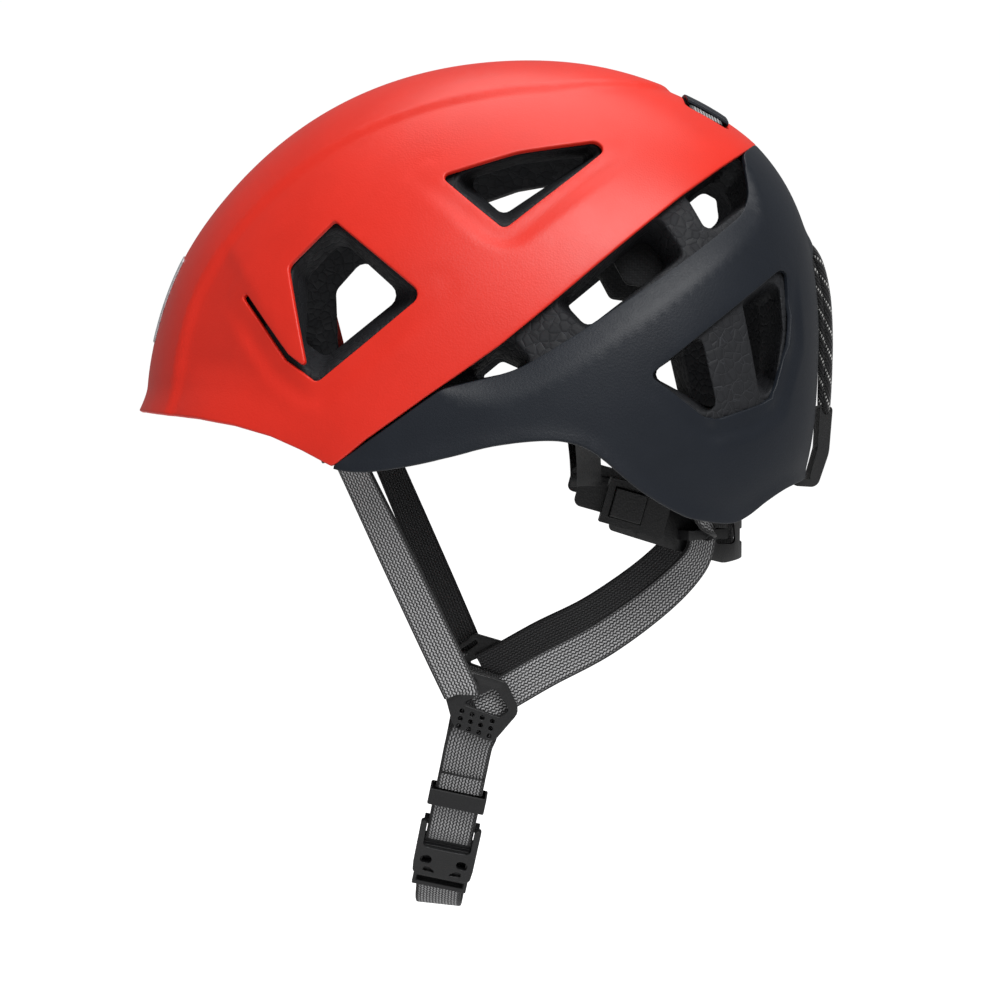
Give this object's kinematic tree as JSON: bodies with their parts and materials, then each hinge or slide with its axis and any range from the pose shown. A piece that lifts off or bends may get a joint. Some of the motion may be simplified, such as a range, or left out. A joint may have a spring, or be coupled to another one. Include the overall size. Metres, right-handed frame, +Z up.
{
  "type": "climbing helmet",
  "caption": "Hard-shell climbing helmet with a foam liner, side and rear vents, lamp clips, an elastic rear lamp keeper, an adjustable nape cradle and a buckled chin harness.",
  "frame": {"origin": "centre of the head opening, on the mid-plane at the height of the rim beside the ears", "axes": "+X forward, towards the brow; +Y to the wearer's left; +Z up, towards the crown"},
  "size_m": [0.3, 0.2186, 0.3736],
  "materials": {
    "crown_plastic": "satin",
    "lower_plastic": "satin",
    "foam": "matte",
    "puck_foam": "matte",
    "pad_fabric": "matte",
    "webbing": "matte",
    "harness_plastic": "satin",
    "keeper_rubber": "matte",
    "reflective": "satin",
    "cord": "matte"
  },
  "bodies": {
    "helmet": {"crown_shell": "crown_plastic", "lower_shell": "lower_plastic", "rear_bridge": "lower_plastic", "rear_cross_webbing": "webbing", "front_reflector": "reflective", "temple_pin_left": "harness_plastic", "temple_pin_right": "harness_plastic", "front_strap_anchor_left": "harness_plastic", "front_strap_anchor_right": "harness_plastic", "rear_strap_anchor_left": "harness_plastic", "rear_strap_anchor_right": "harness_plastic", "crown_puck": "puck_foam", "foam_liner": "foam", "brow_pad": "pad_fabric", "side_pad_left": "pad_fabric", "side_pad_right": "pad_fabric", "top_pad": "pad_fabric", "front_strap_left": "webbing", "front_strap_right": "webbing"},
    "headband": {"headband_arm_left": "harness_plastic", "headband_arm_right": "harness_plastic"},
    "cradle": {"nape_cradle": "harness_plastic", "nape_pad": "pad_fabric"},
    "tab_left": {"release_tab_left": "harness_plastic"},
    "tab_right": {"release_tab_right": "harness_plastic"},
    "lamp_keeper": {"lamp_keeper_hook": "lower_plastic", "lamp_keeper_cord": "cord"},
    "chin_harness": {"yoke_left": "harness_plastic", "yoke_right": "harness_plastic", "rear_strap_left": "webbing", "rear_strap_right": "webbing", "chin_strap_left": "webbing", "chin_strap_tail": "webbing", "chin_strap_right": "webbing", "buckle_female": "harness_plastic"},
    "keeper": {"strap_keeper": "keeper_rubber"},
    "male_half": {"buckle_male": "harness_plastic", "buckle_prongs": "harness_plastic"}
  },
  "joints": [
    {"name": "headband_tilt", "type": "hinge", "parent": "helmet", "child": "headband", "pos_m": [-0.035, 0, 0.031], "axis": [0, 1, 0], "range_deg": [-8, 1.5], "deforming": ["rear_strap_left", "rear_strap_right"]},
    {"name": "size_adjust", "type": "slide", "parent": "headband", "child": "cradle", "axis": [-0.9627, 0, -0.2705], "range_m": [0, 0.012], "deforming": ["rear_strap_left", "rear_strap_right"]},
    {"name": "tab_left_press", "type": "slide", "parent": "cradle", "child": "tab_left", "axis": [0, -1, 0], "range_m": [0, 0.002], "stiffness_N_per_m": 1500, "springref_m": -0.001},
    {"name": "tab_right_press", "type": "slide", "parent": "cradle", "child": "tab_right", "axis": [0, 1, 0], "range_m": [0, 0.002], "stiffness_N_per_m": 1500, "springref_m": -0.001},
    {"name": "lamp_keeper_swing", "type": "hinge", "parent": "helmet", "child": "lamp_keeper", "pos_m": [-0.136, 0, 0.098], "axis": [0, 1, 0], "range_deg": [0, 95], "deforming": ["lamp_keeper_cord"]},
    {"name": "harness_swing", "type": "hinge", "parent": "helmet", "child": "chin_harness", "pos_m": [0.02, 0, 0], "axis": [0, 1, 0], "range_deg": [-15, 15], "deforming": ["front_strap_left", "front_strap_right", "rear_strap_left", "rear_strap_right"]},
    {"name": "keeper_slide", "type": "slide", "parent": "chin_harness", "child": "keeper", "axis": [-0.1886, 0.3768, 0.9069], "range_m": [-0.004, 0.012]},
    {"name": "buckle_release", "type": "slide", "parent": "chin_harness", "child": "male_half", "axis": [0.1738, -0.4885, -0.8551], "range_m": [0, 0.03], "deforming": ["chin_strap_right", "buckle_prongs"]}
  ]
}
